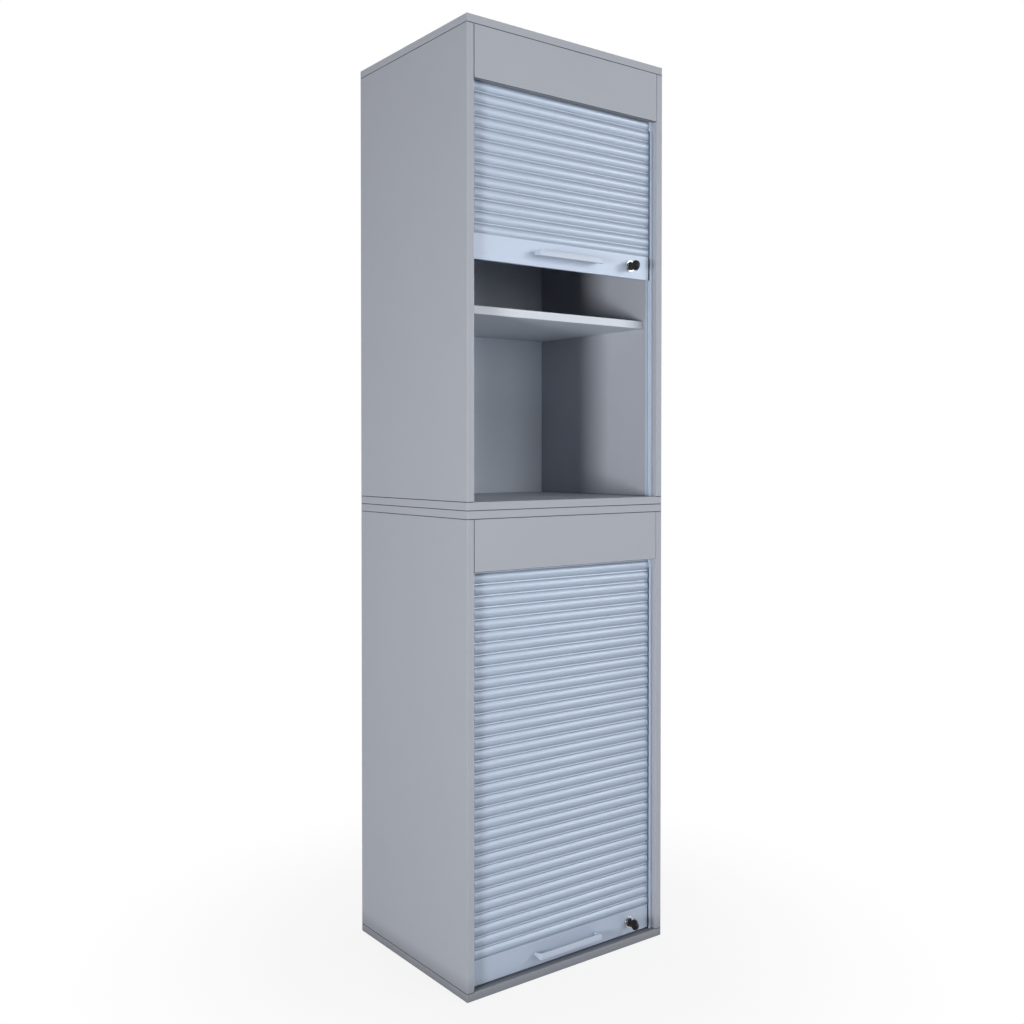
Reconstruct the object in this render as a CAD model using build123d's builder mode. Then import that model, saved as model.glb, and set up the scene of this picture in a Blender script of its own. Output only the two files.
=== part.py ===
from build123d import *
import os
from math import asin, atan2, ceil, cos, degrees, hypot, pi, sin, sqrt

# Office cabinet of two stacked modules, each closed by a roller shutter.
# Millimetres, z up, the front towards minus y, the origin on the floor under the middle.

# Overall size
cabinet_width = 500.0
cabinet_depth = 400.0
module_height = 920.0

# Boards
board = 16.0
edge_break = 0.8
fascia_height = 100.0
fascia_thickness = 11.0
fascia_side_gap = 0.4
back_thickness = 3.0
back_setback = 7.0
back_tongue = 5.0
groove_play = 0.2

# Shelf and the pins that carry it
shelf_top = 389.0
shelf_setback = 40.0
shelf_gap = 1.0
pin_diameter = 5.0
pin_depth = 8.0
pin_reach = 9.0
pin_play = 0.3
pin_inset = 45.0

# Dowels, hidden in the boards and drawn with few flats
peg_sides = 6
peg_play = 0.1
dowel_diameter = 8.0
dowel_in_panel = 10.0
dowel_in_side = 14.0
dowel_inset = 60.0

# Rails
rail_width = 9.0
rail_depth = 14.0
rail_lip = 4.8
rail_web = 3.5

# Slats, measured from the pivot line of a slat's bead
slat_pitch = 22.33
slat_thickness = 4.4
slat_gap = 0.5
hump_height = 3.0
hump_length = 16.0
hump_margin = 0.9
bead_sides = 4
bead_radius = 1.25
bead_play = 0.15
socket_sides = 6
neck_width = 0.9
neck_play = 0.3
rim_height = 2.1
tip_height = 0.6
tongue_play = 0.4
tongue_end_gap = 0.9
curtain_overlap = 40.0

# Spiral guide plates
spiral_half_turns = 6
spiral_pitch = 11.0
spiral_flats = 8
spiral_play = 1.0
spiral_rim = 3.0
spiral_corner = 30.0
spiral_head_gap = 1.0

# End bar and its glides
bar_below_pivot = 47.0
bar_proud = 1.2
bar_wall = 2.0
bar_end_gap = 0.7
bar_floor_gap = 2.0
bar_lip_radius = 1.0
glide_length = 28.0
glide_play = 0.2
open_gap = 3.0
upper_lift = 454.0

# Handle
handle_length = 160.0
handle_height = 12.0
handle_projection = 21.0
handle_strip = 3.5
handle_leg = 8.0
handle_bend = 4.0

# Lock and key, whose small rounds are drawn with flats
round_sides = 32
lock_inset = 53.3
ring_radius = 12.0
ring_height = 3.0
housing_radius = 9.5
housing_sides = 8
housing_length = 20.0
housing_play = 0.2
plug_radius = 7.0
plug_play = 0.05
cam_thickness = 2.0
cam_gap = 0.4
cam_width = 10.0
cam_reach = 34.0
cam_play = 1.0
tail_width = 6.0
key_thickness = 4.5
key_bow_radius = 10.5
key_bow_overlap = 1.0
key_hole_radius = 1.75
key_shoulder_height = 17.0
key_shoulder_length = 6.0
key_shoulder_cut = 2.0
key_gap = 0.5
blade_thickness = 2.0
blade_height = 8.0
blade_length = 15.0
blade_play = 0.1

# Places that several pieces share
front = -cabinet_depth / 2
inner_x = cabinet_width / 2 - board
inner_height = module_height - 2 * board
back_front = cabinet_depth / 2 - back_setback - back_thickness
fascia_bottom = module_height - board - fascia_height
rail_front = front + fascia_thickness
rail_face_x = inner_x - rail_width
slot_width = slat_thickness + 2 * tongue_play
slot_bottom_x = inner_x - rail_web
pivot_y = rail_front + rail_lip + slot_width / 2
tongue_x = slot_bottom_x - tongue_end_gap
hump_x = rail_face_x - bar_end_gap
lock_x = hump_x - lock_inset
body_bottom = rim_height + slat_gap
closed_pivot = board + bar_floor_gap + bar_below_pivot
pin_height = pin_diameter * cos(pi / peg_sides)
bar_middle = (rim_height - bar_below_pivot) / 2
bar_front = pivot_y - slat_thickness / 2 - bar_proud
open_pivot = fascia_bottom - open_gap - key_bow_radius - bar_middle
cam_front = bar_front + housing_length + cam_gap

# The spiral is as large as its turns need to be to take the whole curtain, with one slat to spare
slat_count = ceil((fascia_bottom + curtain_overlap - closed_pivot) / slat_pitch)
curtain_length = (slat_count + 1) * slat_pitch
turn_step = spiral_pitch / 2
turn_loss = pi * turn_step * spiral_half_turns * (spiral_half_turns - 1) / 2
groove_outside = slat_thickness / 2 + spiral_play
head_room = module_height - board - spiral_head_gap - spiral_rim - groove_outside - open_pivot
spiral_radius = (curtain_length - head_room + turn_loss) / (pi * spiral_half_turns - 1)
spiral_height = open_pivot + head_room - spiral_radius
least_radius = spiral_radius - (spiral_half_turns - 1) * turn_step
slat_bow = slat_pitch**2 / (8 * least_radius)
groove_inside = slat_thickness / 2 + slat_bow + spiral_play / 2
groove_width = groove_inside + groove_outside
spiral_edge = groove_outside + spiral_rim
rail_top = spiral_height - spiral_radius + turn_step - spiral_edge


def write(piece, name):
    """Label a finished piece and write it as its own file."""
    piece.part.label = name
    export_step(piece.part, f"parts/{name}.step")


def mirrored(piece):
    """The same piece for the cabinet's left side."""
    with BuildPart() as other:
        mirror(piece.part, about=Plane.YZ)
    return other


def pegs(plane, spots, diameter, play=0.0):
    """Outlines of pegs, or of the holes that take them, on a plane."""
    with BuildSketch(plane) as outlines:
        with Locations(*spots):
            RegularPolygon(diameter / 2 + play, peg_sides)
    return outlines.sketch


def corner_spots(x, inset):
    """Four places at plus and minus x, at an inset from the front and the rear."""
    y = cabinet_depth / 2 - inset
    return [(-x, -y), (x, -y), (-x, y), (x, y)]


side_dowel_x = inner_x + board / 2
side_dowels = corner_spots(side_dowel_x, dowel_inset)
module_dowels = corner_spots(inner_x - dowel_inset, dowel_inset)


def horizontal_board(base, inside_up):
    """Top or bottom board with the back panel's groove and the dowel holes in its inner face."""
    inner_face = base + board if inside_up else base
    inwards = -1 if inside_up else 1
    with BuildPart() as panel:
        with Locations((0, 0, base)):
            Box(cabinet_width, cabinet_depth, board, align=(Align.CENTER, Align.CENTER, Align.MIN))
        chamfer(panel.edges(), edge_break)
        with BuildSketch(Plane.XY.offset(inner_face)):
            with Locations((0, back_front + back_thickness / 2)):
                Rectangle(2 * (inner_x + back_tongue + groove_play), back_thickness + 2 * groove_play)
        extrude(amount=inwards * (back_tongue + groove_play), mode=Mode.SUBTRACT)
        holes = pegs(Plane.XY.offset(inner_face), side_dowels, dowel_diameter, peg_play)
        extrude(holes, amount=inwards * (dowel_in_panel + peg_play), mode=Mode.SUBTRACT)
    return panel


def with_module_holes(panel, face, inwards):
    """The same board with the holes for the dowels between the modules in its outer face."""
    with BuildPart() as drilled:
        add(panel.part)
        holes = pegs(Plane.XY.offset(face), module_dowels, dowel_diameter, peg_play)
        extrude(holes, amount=inwards * (dowel_in_panel + peg_play), mode=Mode.SUBTRACT)
    return drilled


def with_lock_slot(panel, base):
    """The same bottom board with the slot that the turned cam drops into."""
    top = base + board
    axis_height = bar_floor_gap + bar_below_pivot + bar_middle
    tip_radius = hypot(cam_reach, cam_width / 2)
    swing = sqrt(tip_radius**2 - axis_height**2) + cam_play
    left = lock_x - cam_width / 2 - cam_play
    with BuildPart() as slotted:
        add(panel.part)
        with BuildSketch(Plane.XY.offset(top)):
            with Locations((left, cam_front + cam_thickness / 2)):
                length = lock_x + swing - left
                Rectangle(length, cam_thickness + 2 * cam_play, align=(Align.MIN, Align.CENTER))
        extrude(amount=-(tip_radius - axis_height + cam_play), mode=Mode.SUBTRACT)
    return slotted


def right_side(base):
    """Side board with the back panel's groove, the dowel holes and the shelf pin holes."""
    bottom = base + board
    top = bottom + inner_height
    with BuildPart() as side:
        with Locations((inner_x, 0, bottom)):
            Box(board, cabinet_depth, inner_height, align=(Align.MIN, Align.CENTER, Align.MIN))
        chamfer(side.edges(), edge_break)
        with BuildSketch(Plane.XY.offset(bottom)):
            with Locations((inner_x, back_front + back_thickness / 2)):
                Rectangle(2 * (back_tongue + groove_play), back_thickness + 2 * groove_play)
        extrude(amount=inner_height, mode=Mode.SUBTRACT)
        spots = [spot for spot in side_dowels if spot[0] > 0]
        for face, inwards in ((bottom, 1), (top, -1)):
            holes = pegs(Plane.XY.offset(face), spots, dowel_diameter, peg_play)
            extrude(holes, amount=inwards * (dowel_in_side + peg_play), mode=Mode.SUBTRACT)
        holes = pegs(Plane.YZ.offset(inner_x), pin_spots(base), pin_diameter, peg_play)
        extrude(holes, amount=pin_depth + peg_play, mode=Mode.SUBTRACT)
    return side


def back_panel(base):
    """Thin panel whose edges stand in the grooves of the boards round it."""
    with BuildPart() as panel:
        with Locations((0, back_front, base + board - back_tongue)):
            Box(
                2 * (inner_x + back_tongue),
                back_thickness,
                inner_height + 2 * back_tongue,
                align=(Align.CENTER, Align.MIN, Align.MIN),
            )
    return panel


def fascia(base):
    """Board across the head, flush with the front."""
    with BuildPart() as panel:
        with Locations((0, front, base + fascia_bottom)):
            Box(
                2 * (inner_x - fascia_side_gap),
                fascia_thickness,
                fascia_height,
                align=(Align.CENTER, Align.MIN, Align.MIN),
            )
        chamfer(panel.edges().filter_by(Axis.Z).group_by(Axis.Y)[0], edge_break)
        chamfer(panel.edges().filter_by(Axis.X).group_by(Axis.Y)[0], edge_break)
    return panel


def shelf(base):
    """Loose shelf, set back from the shutter, with notches below that drop over its pins."""
    rear = back_front - shelf_gap
    with BuildPart() as panel:
        with Locations((0, front + shelf_setback, base + shelf_top - board)):
            Box(
                2 * (inner_x - shelf_gap),
                rear - front - shelf_setback,
                board,
                align=(Align.CENTER, Align.MIN, Align.MIN),
            )
        chamfer(panel.edges(), edge_break)
        for end, inwards in ((inner_x, -1), (-inner_x, 1)):
            with BuildSketch(Plane.YZ.offset(end)):
                with Locations(*pin_spots(base)):
                    Rectangle(pin_diameter + 2 * pin_play, pin_height)
            extrude(amount=inwards * (pin_reach + pin_play), mode=Mode.SUBTRACT)
    return panel


def pin_spots(base):
    """Where the shelf pins enter a side board, as y and z, level with the shelf's underside."""
    z = base + shelf_top - board + pin_height / 2
    return [(front + shelf_setback + pin_inset, z), (back_front - shelf_gap - pin_inset, z)]


def shelf_pins(base):
    """Four pins, each a peg in the side board whose free end lies in a notch of the shelf."""
    with BuildPart() as right:
        outlines = pegs(Plane.YZ.offset(inner_x), pin_spots(base), pin_diameter)
        extrude(outlines, amount=pin_depth)
        extrude(outlines, amount=-pin_reach)
    with BuildPart() as pins:
        add(right.part)
        mirror(right.part, about=Plane.YZ)
    return pins


def carcass_dowels(base):
    """Dowels between the side boards and the top and bottom boards."""
    with BuildPart() as dowels:
        for face, up in ((base + board, 1), (base + module_height - board, -1)):
            outlines = pegs(Plane.XY.offset(face), side_dowels, dowel_diameter)
            extrude(outlines, amount=up * dowel_in_side)
            extrude(outlines, amount=-up * dowel_in_panel)
    return dowels


def stacking_dowels():
    """Dowels that keep the upper module in place on the lower one."""
    with BuildPart() as dowels:
        outlines = pegs(Plane.XY.offset(module_height), module_dowels, dowel_diameter)
        extrude(outlines, amount=dowel_in_panel, both=True)
    return dowels


def right_rail(base):
    """Channel for the slats' ends, from the bottom board up to the spiral."""
    with BuildPart() as rail:
        with BuildSketch(Plane.XY.offset(base + board)):
            with Locations((rail_face_x, rail_front)):
                Rectangle(rail_width, rail_depth, align=Align.MIN)
            with Locations((rail_face_x, pivot_y)):
                slot_depth = rail_width - rail_web
                Rectangle(slot_depth, slot_width, align=(Align.MIN, Align.CENTER), mode=Mode.SUBTRACT)
        extrude(amount=rail_top - board)
    return rail


def half_turn(turn):
    """Centre in y and radius of one half turn of the pivot line's spiral."""
    radius = spiral_radius - turn * turn_step
    inset = turn_step if turn % 2 else 0.0
    return pivot_y + spiral_radius + inset, radius


def groove_wall(base, inset):
    """One wall of the spiral groove, an inset inside the pivot line, as a chain of short flats."""
    height = base + spiral_height
    spread = 2 / (1 + cos(pi / (2 * spiral_flats)))
    points = [(pivot_y + inset, base + rail_top)]
    for turn in range(spiral_half_turns):
        centre, radius = half_turn(turn)
        side = 1 if turn % 2 else -1
        reach = side * (radius - inset) * spread
        for flat in range(min(turn, 1), spiral_flats + 1):
            angle = pi * flat / spiral_flats
            points.append((centre + reach * cos(angle), height - reach * sin(angle)))
    return points


def right_spiral(base):
    """Guide plate in the head, with a groove that winds the slats' ends inwards."""
    depth = pivot_y + 2 * spiral_radius + spiral_edge - rail_front
    top = spiral_height + spiral_radius + spiral_edge
    with BuildPart() as plate:
        with BuildSketch(Plane.YZ.offset(rail_face_x)) as outline:
            with Locations((rail_front, base + rail_top)):
                Rectangle(depth, top - rail_top, align=Align.MIN)
            rear_corners = outline.vertices().group_by(Axis.X)[-1]
            top_front_corner = outline.vertices().group_by(Axis.X)[0].sort_by(Axis.Y)[-1]
            chamfer([*rear_corners, top_front_corner], spiral_corner)
        extrude(amount=rail_width)
        with BuildSketch(Plane.YZ.offset(rail_face_x)):
            with BuildLine():
                inner_wall = groove_wall(base, groove_inside)
                outer_wall = groove_wall(base, -groove_outside)
                Polyline(*outer_wall, *reversed(inner_wall), close=True)
            make_face()
        extrude(amount=rail_width - rail_web, mode=Mode.SUBTRACT)
    return plate


def path_point(length):
    """Point of the pivot line, in y and z above the module's base, by length past the spiral's start."""
    if length <= 0:
        return pivot_y, spiral_height + length
    for turn in range(spiral_half_turns):
        centre, radius = half_turn(turn)
        if length <= pi * radius or turn == spiral_half_turns - 1:
            angle = length / radius
            side = 1 if turn % 2 else -1
            return centre + side * radius * cos(angle), spiral_height - side * radius * sin(angle)
        length -= pi * radius


def next_pivot(length):
    """Length along the pivot line one straight pitch further on."""
    here = path_point(length)
    low, high = length + slat_pitch, length + slat_pitch * pi / 2
    for _ in range(40):
        middle = (low + high) / 2
        there = path_point(middle)
        if hypot(there[0] - here[0], there[1] - here[1]) < slat_pitch:
            low = middle
        else:
            high = middle
    return low


def slat_places(base, pivot):
    """Place and tilt of each slat, with the first one's bead at the height of the bar's pivot."""
    places = []
    length = pivot - spiral_height
    for _ in range(slat_count):
        y, z = path_point(length)
        length = next_pivot(length)
        next_y, next_z = path_point(length)
        tilt = degrees(atan2(y - next_y, next_z - z))
        places.append(Location((0, y, base + z), (tilt, 0, 0)))
    return places


def socket(height):
    """Room for a bead in the top of a slat or bar, open upwards and to the rear."""
    with BuildSketch() as room:
        with Locations((0, height)):
            RegularPolygon(bead_radius + bead_play, socket_sides, major_radius=False)
        with BuildLine():
            lip = -neck_width / 2 - neck_play
            top = height + 2 * rim_height
            rear = slat_thickness
            tip = height + tip_height * rear / (slat_thickness / 2)
            Polyline((lip, height), (lip, top), (rear, top), (rear, tip), (0, height), close=True)
        make_face()
    return room.sketch_local


def slat():
    """One slat with its bead on the x axis: convex front, neck and bead below, socket above."""
    rim = slat_pitch + rim_height
    hump_foot = body_bottom + hump_margin
    with BuildPart() as piece:
        with BuildSketch(Plane.YZ):
            with Locations((0, body_bottom)):
                Rectangle(slat_thickness, rim - body_bottom, align=(Align.CENTER, Align.MIN))
            add(socket(slat_pitch), mode=Mode.SUBTRACT)
            Rectangle(neck_width, body_bottom, align=(Align.CENTER, Align.MIN))
            RegularPolygon(bead_radius, bead_sides)
        extrude(amount=tongue_x, both=True)
        with BuildSketch(Plane.YZ):
            with BuildLine():
                face = -slat_thickness / 2
                foot = (face, hump_foot)
                top = (face, hump_foot + hump_length)
                crown = (face - hump_height, hump_foot + hump_length / 2)
                ThreePointArc(foot, crown, top)
                Line(top, foot)
            make_face()
        extrude(amount=hump_x, both=True)
    return piece


def slats(base, pivot, link):
    """The whole chain of slats, from the bar up the rails and round the spirals."""
    with BuildPart() as chain:
        with Locations(*slat_places(base, pivot)):
            add(link.part)
    return chain


def end_bar(base, pivot):
    """Extruded bottom edge of the shutter: socket on top, flat front, lip below, open to the rear."""
    face = -slat_thickness / 2 - bar_proud
    rear = slat_thickness / 2
    height = base + pivot
    profile_plane = Plane(origin=(0, pivot_y, height), x_dir=(0, 1, 0), z_dir=(1, 0, 0))
    with BuildPart() as bar:
        with BuildSketch(profile_plane):
            with Locations((face, -bar_below_pivot)):
                Rectangle(bar_wall, bar_below_pivot + rim_height, align=Align.MIN)
                Rectangle(rear - face, bar_wall, align=Align.MIN)
            with Locations((face, rim_height)):
                Rectangle(rear - face, 2 * rim_height + bar_wall, align=(Align.MIN, Align.MAX))
            add(socket(0), mode=Mode.SUBTRACT)
        extrude(amount=hump_x, both=True)
        lip = bar.edges().filter_by(Axis.X).group_by(Axis.Z)[0].sort_by(Axis.Y)[0]
        fillet(lip, bar_lip_radius)
        with BuildSketch(lock_plane(height)):
            Circle(housing_radius + housing_play)
        extrude(amount=-bar_wall, mode=Mode.SUBTRACT)
    return bar


def bar_glides(base, pivot):
    """Blocks in the bar's ends whose tongues run in the rails."""
    bottom = base + pivot - bar_below_pivot + bar_wall + glide_play
    top = base + pivot - rim_height - bar_wall - glide_play
    rear = pivot_y + slat_thickness / 2
    with BuildPart() as right:
        with BuildSketch(Plane.XY.offset(bottom)):
            with Locations((hump_x, rear)):
                inside = bar_front + bar_wall
                Rectangle(glide_length, rear - inside, align=Align.MAX)
                Rectangle(tongue_x - hump_x, slat_thickness, align=(Align.MIN, Align.MAX))
        extrude(amount=top - bottom)
    with BuildPart() as glides:
        add(right.part)
        mirror(right.part, about=Plane.YZ)
    return glides


def handle(base, pivot):
    """Flat strip bent to a bow, on two legs."""
    bottom = base + pivot + bar_middle - handle_height / 2
    with BuildPart() as bow:
        with BuildSketch(Plane.XY.offset(bottom)):
            with Locations((0, bar_front)):
                Rectangle(handle_length, handle_projection, align=(Align.CENTER, Align.MAX))
                span = handle_length - 2 * handle_leg
                reach = handle_projection - handle_strip
                Rectangle(span, reach, align=(Align.CENTER, Align.MAX), mode=Mode.SUBTRACT)
        extrude(amount=handle_height)
        front_corners = bow.edges().filter_by(Axis.Z).group_by(Axis.Y)[0]
        fillet(front_corners, handle_bend)
        inner_corners = bow.edges().filter_by(Axis.Z).filter_by_position(
            Axis.Y,
            bar_front - reach - edge_break,
            bar_front - reach + edge_break,
        )
        fillet(inner_corners, handle_bend / 2)
    return bow


def lock_plane(height):
    """Plane on the bar's front at the lock, facing the user, for a bar pivot at this height."""
    return Plane(
        origin=(lock_x, bar_front, height + bar_middle),
        x_dir=(1, 0, 0),
        z_dir=(0, -1, 0),
    )


def lock_housing(base, pivot):
    """Sleeve through the bar with a bright ring on its front."""
    plane = lock_plane(base + pivot)
    with BuildPart() as housing:
        with BuildSketch(plane):
            RegularPolygon(ring_radius, round_sides)
        extrude(amount=ring_height)
        with BuildSketch(plane):
            RegularPolygon(housing_radius, housing_sides)
        extrude(amount=-housing_length)
        with BuildSketch(plane.offset(ring_height)):
            RegularPolygon(plug_radius + plug_play, round_sides, major_radius=False)
        extrude(amount=-(ring_height + housing_length), mode=Mode.SUBTRACT)
    return housing


def lock_plug(base, pivot):
    """Turning core with the keyway, and a square tail for the cam."""
    plane = lock_plane(base + pivot)
    with BuildPart() as plug:
        with BuildSketch(plane.offset(ring_height)):
            RegularPolygon(plug_radius, round_sides)
        extrude(amount=-(ring_height + housing_length))
        with BuildSketch(plane.offset(-housing_length)):
            Rectangle(tail_width, tail_width)
        extrude(amount=-(cam_gap + cam_thickness))
        with BuildSketch(plane.offset(ring_height)):
            Rectangle(blade_thickness + 2 * blade_play, blade_height + 2 * blade_play)
        extrude(amount=-(blade_length + blade_play), mode=Mode.SUBTRACT)
    return plug


def lock_cam(base, pivot):
    """Plate on the plug's tail, level while the lock is open."""
    with BuildPart() as cam:
        with BuildSketch(lock_plane(base + pivot).offset(-housing_length - cam_gap)):
            with Locations((-plug_radius, 0)):
                Rectangle(plug_radius + cam_reach, cam_width, align=(Align.MIN, Align.CENTER))
            hole = tail_width + 2 * plug_play
            Rectangle(hole, hole, mode=Mode.SUBTRACT)
        extrude(amount=-cam_thickness)
    return cam


def key(base, pivot):
    """Key in the lock: round bow with a hole, shoulder, and the blade in the keyway."""
    height = base + pivot + bar_middle
    shoulder = bar_front - ring_height - key_gap
    bow = shoulder - key_shoulder_length - key_bow_radius + key_bow_overlap
    with BuildPart() as piece:
        with BuildSketch(Plane.YZ.offset(lock_x)):
            with Locations((shoulder - key_shoulder_length / 2, height)):
                shoulder_sketch = Rectangle(key_shoulder_length, key_shoulder_height)
                chamfer(shoulder_sketch.vertices(), key_shoulder_cut)
            with Locations((bow, height)):
                RegularPolygon(key_bow_radius, round_sides)
            with Locations((bow - key_bow_radius / 2, height)):
                RegularPolygon(key_hole_radius, round_sides // 3, mode=Mode.SUBTRACT)
        extrude(amount=key_thickness / 2, both=True)
        with BuildSketch(Plane.YZ.offset(lock_x)):
            with Locations((shoulder - key_shoulder_length / 2, height)):
                length = key_shoulder_length / 2 + key_gap + blade_length
                Rectangle(length, blade_height, align=(Align.MIN, Align.CENTER))
        extrude(amount=blade_thickness / 2, both=True)
    return piece


os.makedirs("parts", exist_ok=True)
single_slat = slat()
modules = (("lower", 0.0, closed_pivot), ("upper", module_height, closed_pivot + upper_lift))
for module, base, pivot in modules:
    bottom_board = with_lock_slot(horizontal_board(base, inside_up=True), base)
    top_board = horizontal_board(base + module_height - board, inside_up=False)
    if module == "upper":
        bottom_board = with_module_holes(bottom_board, base, 1)
    else:
        top_board = with_module_holes(top_board, base + module_height, -1)
    write(bottom_board, f"{module}_bottom_panel")
    write(top_board, f"{module}_top_panel")
    for name, piece in (
        ("side", right_side(base)),
        ("rail", right_rail(base)),
        ("spiral", right_spiral(base)),
    ):
        write(piece, f"{module}_right_{name}")
        write(mirrored(piece), f"{module}_left_{name}")
    write(back_panel(base), f"{module}_back_panel")
    write(fascia(base), f"{module}_fascia")
    write(shelf(base), f"{module}_shelf")
    write(shelf_pins(base), f"{module}_shelf_pins")
    write(carcass_dowels(base), f"{module}_carcass_dowels")
    write(slats(base, pivot, single_slat), f"{module}_slats")
    write(end_bar(base, pivot), f"{module}_end_bar")
    write(bar_glides(base, pivot), f"{module}_bar_glides")
    write(handle(base, pivot), f"{module}_handle")
    write(lock_housing(base, pivot), f"{module}_lock_housing")
    write(lock_plug(base, pivot), f"{module}_lock_plug")
    write(lock_cam(base, pivot), f"{module}_lock_cam")
    write(key(base, pivot), f"{module}_key")
write(stacking_dowels(), "stacking_dowels")

print(f"slats in each shutter {slat_count}, first turn radius {spiral_radius:.2f}")
print(f"least radius {least_radius:.2f}, bend {degrees(2 * asin(slat_pitch / 2 / least_radius)):.1f}")
print(f"groove width {groove_width:.2f}, wall between turns {spiral_pitch - groove_width:.2f}")
print(f"shutter travel {open_pivot - closed_pivot:.2f}, upper down {upper_lift:.2f}")
print(f"lock axis y {bar_front:.2f}, z {closed_pivot + bar_middle:.2f} when shut")
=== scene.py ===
"""Dressed scene of a tall office cabinet with two roller shutters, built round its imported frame."""

import logging
import math
from collections import Counter
from dataclasses import dataclass, field, replace
from enum import Enum
from functools import reduce
from typing import Callable, Iterable

import bpy
from mathutils import Matrix, Vector


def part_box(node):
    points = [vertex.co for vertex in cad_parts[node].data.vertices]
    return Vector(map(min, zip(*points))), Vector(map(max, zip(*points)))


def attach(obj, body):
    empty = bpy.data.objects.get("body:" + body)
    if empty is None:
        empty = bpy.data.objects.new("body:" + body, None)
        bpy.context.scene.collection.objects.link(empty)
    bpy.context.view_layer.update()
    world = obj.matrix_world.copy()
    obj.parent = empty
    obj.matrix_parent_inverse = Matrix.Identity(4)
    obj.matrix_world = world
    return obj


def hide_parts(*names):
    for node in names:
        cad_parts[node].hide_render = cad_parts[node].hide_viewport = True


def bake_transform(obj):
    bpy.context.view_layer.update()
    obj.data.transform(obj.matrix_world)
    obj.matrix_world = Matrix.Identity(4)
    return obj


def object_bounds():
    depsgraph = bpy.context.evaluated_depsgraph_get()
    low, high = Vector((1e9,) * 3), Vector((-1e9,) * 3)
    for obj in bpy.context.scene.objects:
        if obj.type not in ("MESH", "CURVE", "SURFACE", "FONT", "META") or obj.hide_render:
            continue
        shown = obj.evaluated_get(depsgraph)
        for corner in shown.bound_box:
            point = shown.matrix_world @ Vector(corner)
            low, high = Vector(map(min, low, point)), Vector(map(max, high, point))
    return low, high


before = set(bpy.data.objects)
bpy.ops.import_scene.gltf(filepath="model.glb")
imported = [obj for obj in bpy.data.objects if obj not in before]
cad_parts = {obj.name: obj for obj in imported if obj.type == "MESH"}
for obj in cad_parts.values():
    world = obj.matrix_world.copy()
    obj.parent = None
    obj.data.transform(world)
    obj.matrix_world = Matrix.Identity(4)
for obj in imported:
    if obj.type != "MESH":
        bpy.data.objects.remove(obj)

CAD_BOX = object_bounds()
MM = 0.001
LOG = logging.getLogger("cabinet")

Colour = tuple[float, float, float, float]
Triple = tuple[float, float, float]
Socket = bpy.types.NodeSocket
Tree = bpy.types.NodeTree
Piece = bpy.types.Object

WHITE: Colour = (1.0, 1.0, 1.0, 1.0)
X_AXIS: Triple = (1.0, 0.0, 0.0)
Y_AXIS: Triple = (0.0, 1.0, 0.0)
Z_AXIS: Triple = (0.0, 0.0, 1.0)
TURN_TO_X: Triple = (0.0, math.pi / 2, 0.0)
TURN_TO_Y: Triple = (math.pi / 2, 0.0, 0.0)

# How far a face's normal lies along an axis: straight along it, a board's flat face, a broken edge.
STRAIGHT = 0.99
FLAT = 0.95
BROKEN = 0.4
# How near a point counts as on a line, and how near two points are one.
NEAR = 0.1 * MM
WELD = 0.001 * MM
# What share of a side counts as its whole length, and what share of a slide as the whole slide.
WHOLE_LENGTH = 0.9
WHOLE_SHARE = 0.9999

MODULE_HEIGHT = 920.0 * MM
UPPER_LIFT = 454.0 * MM

FINE_SCALE, FINE_DETAIL, FINE_SHARE = 900.0, 3.0, 0.6
BROAD_SCALE, BROAD_DETAIL = 7.0, 2.0
RELIEF_DEPTH = 0.4 * MM

# Painted shade that darkens the boards towards the floor, with noise to make it uneven.
FLOOR_SHADE_SCALE, FLOOR_SHADE_DETAIL = 35.0, 2.0
FLOOR_SHADE_REACH = 48.0 * MM
FLOOR_SHADE_UNEVENNESS = 0.15

# Painted joint shade stays clear of the floor and the top, and the painted shade on the fascia's lower face
# is half as dark.
JOINT_SHADE_CLEARANCE = 4.0 * MM
UNDERSIDE_SHADE = 0.5
# Painted shade on the lowest board's ledge in front of the shutter darkens from its front edge to the bar.
LEDGE_HEIGHT = 30.0 * MM
LEDGE_REAR = -178.0 * MM
LEDGE_SHADE_RISE, LEDGE_SHADE_OFFSET, LEDGE_SHADE_MOST = 34.5, 7.2, 0.8


class Module(Enum):
    """The two stacked halves of the cabinet, named as their pieces are."""

    LOWER = "lower"
    UPPER = "upper"


class Grain(Enum):
    """How a finish's fine variation lies on the surface."""

    SPECKLE = (1.0, 1.0, 1.0)
    BRUSHED = (0.03, 1.0, 1.0)
    UPRIGHT = (0.35, 0.35, 0.02)


class ShadedSeams(Enum):
    """Which edges of a board get painted shade as dark lines.

    EDGES are the level ones. OPEN_FRONT leaves out the one at the opening, and has painted shade on the
    ledge there. UPRIGHTS adds the upright edges and painted shade on the lower face.
    """

    NONE = (0.0, 0.0, 0.0)
    EDGES = (1.0, 0.0, 0.0)
    OPEN_FRONT = (1.0, 1.0, 0.0)
    UPRIGHTS = (1.0, 0.0, 1.0)


def srgb(red: int, green: int, blue: int) -> Colour:
    """Turn a colour given in display steps of 255 into linear light.

    Args:
        red: Red step.
        green: Green step.
        blue: Blue step.

    Returns:
        The linear colour with full alpha.
    """

    def linear(step: int) -> float:
        """One channel in linear light."""
        share = step / 255
        return share / 12.92 if share <= 0.04045 else ((share + 0.055) / 1.055) ** 2.4

    return linear(red), linear(green), linear(blue), 1.0


# Colour of the painted shade along the joints, under the fascia and on the ledge.
PAINTED_SHADE_COLOUR = srgb(70, 74, 82)
# Colour of the painted shade near the floor.
FLOOR_SHADE_COLOUR = srgb(117, 120, 127)


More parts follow.
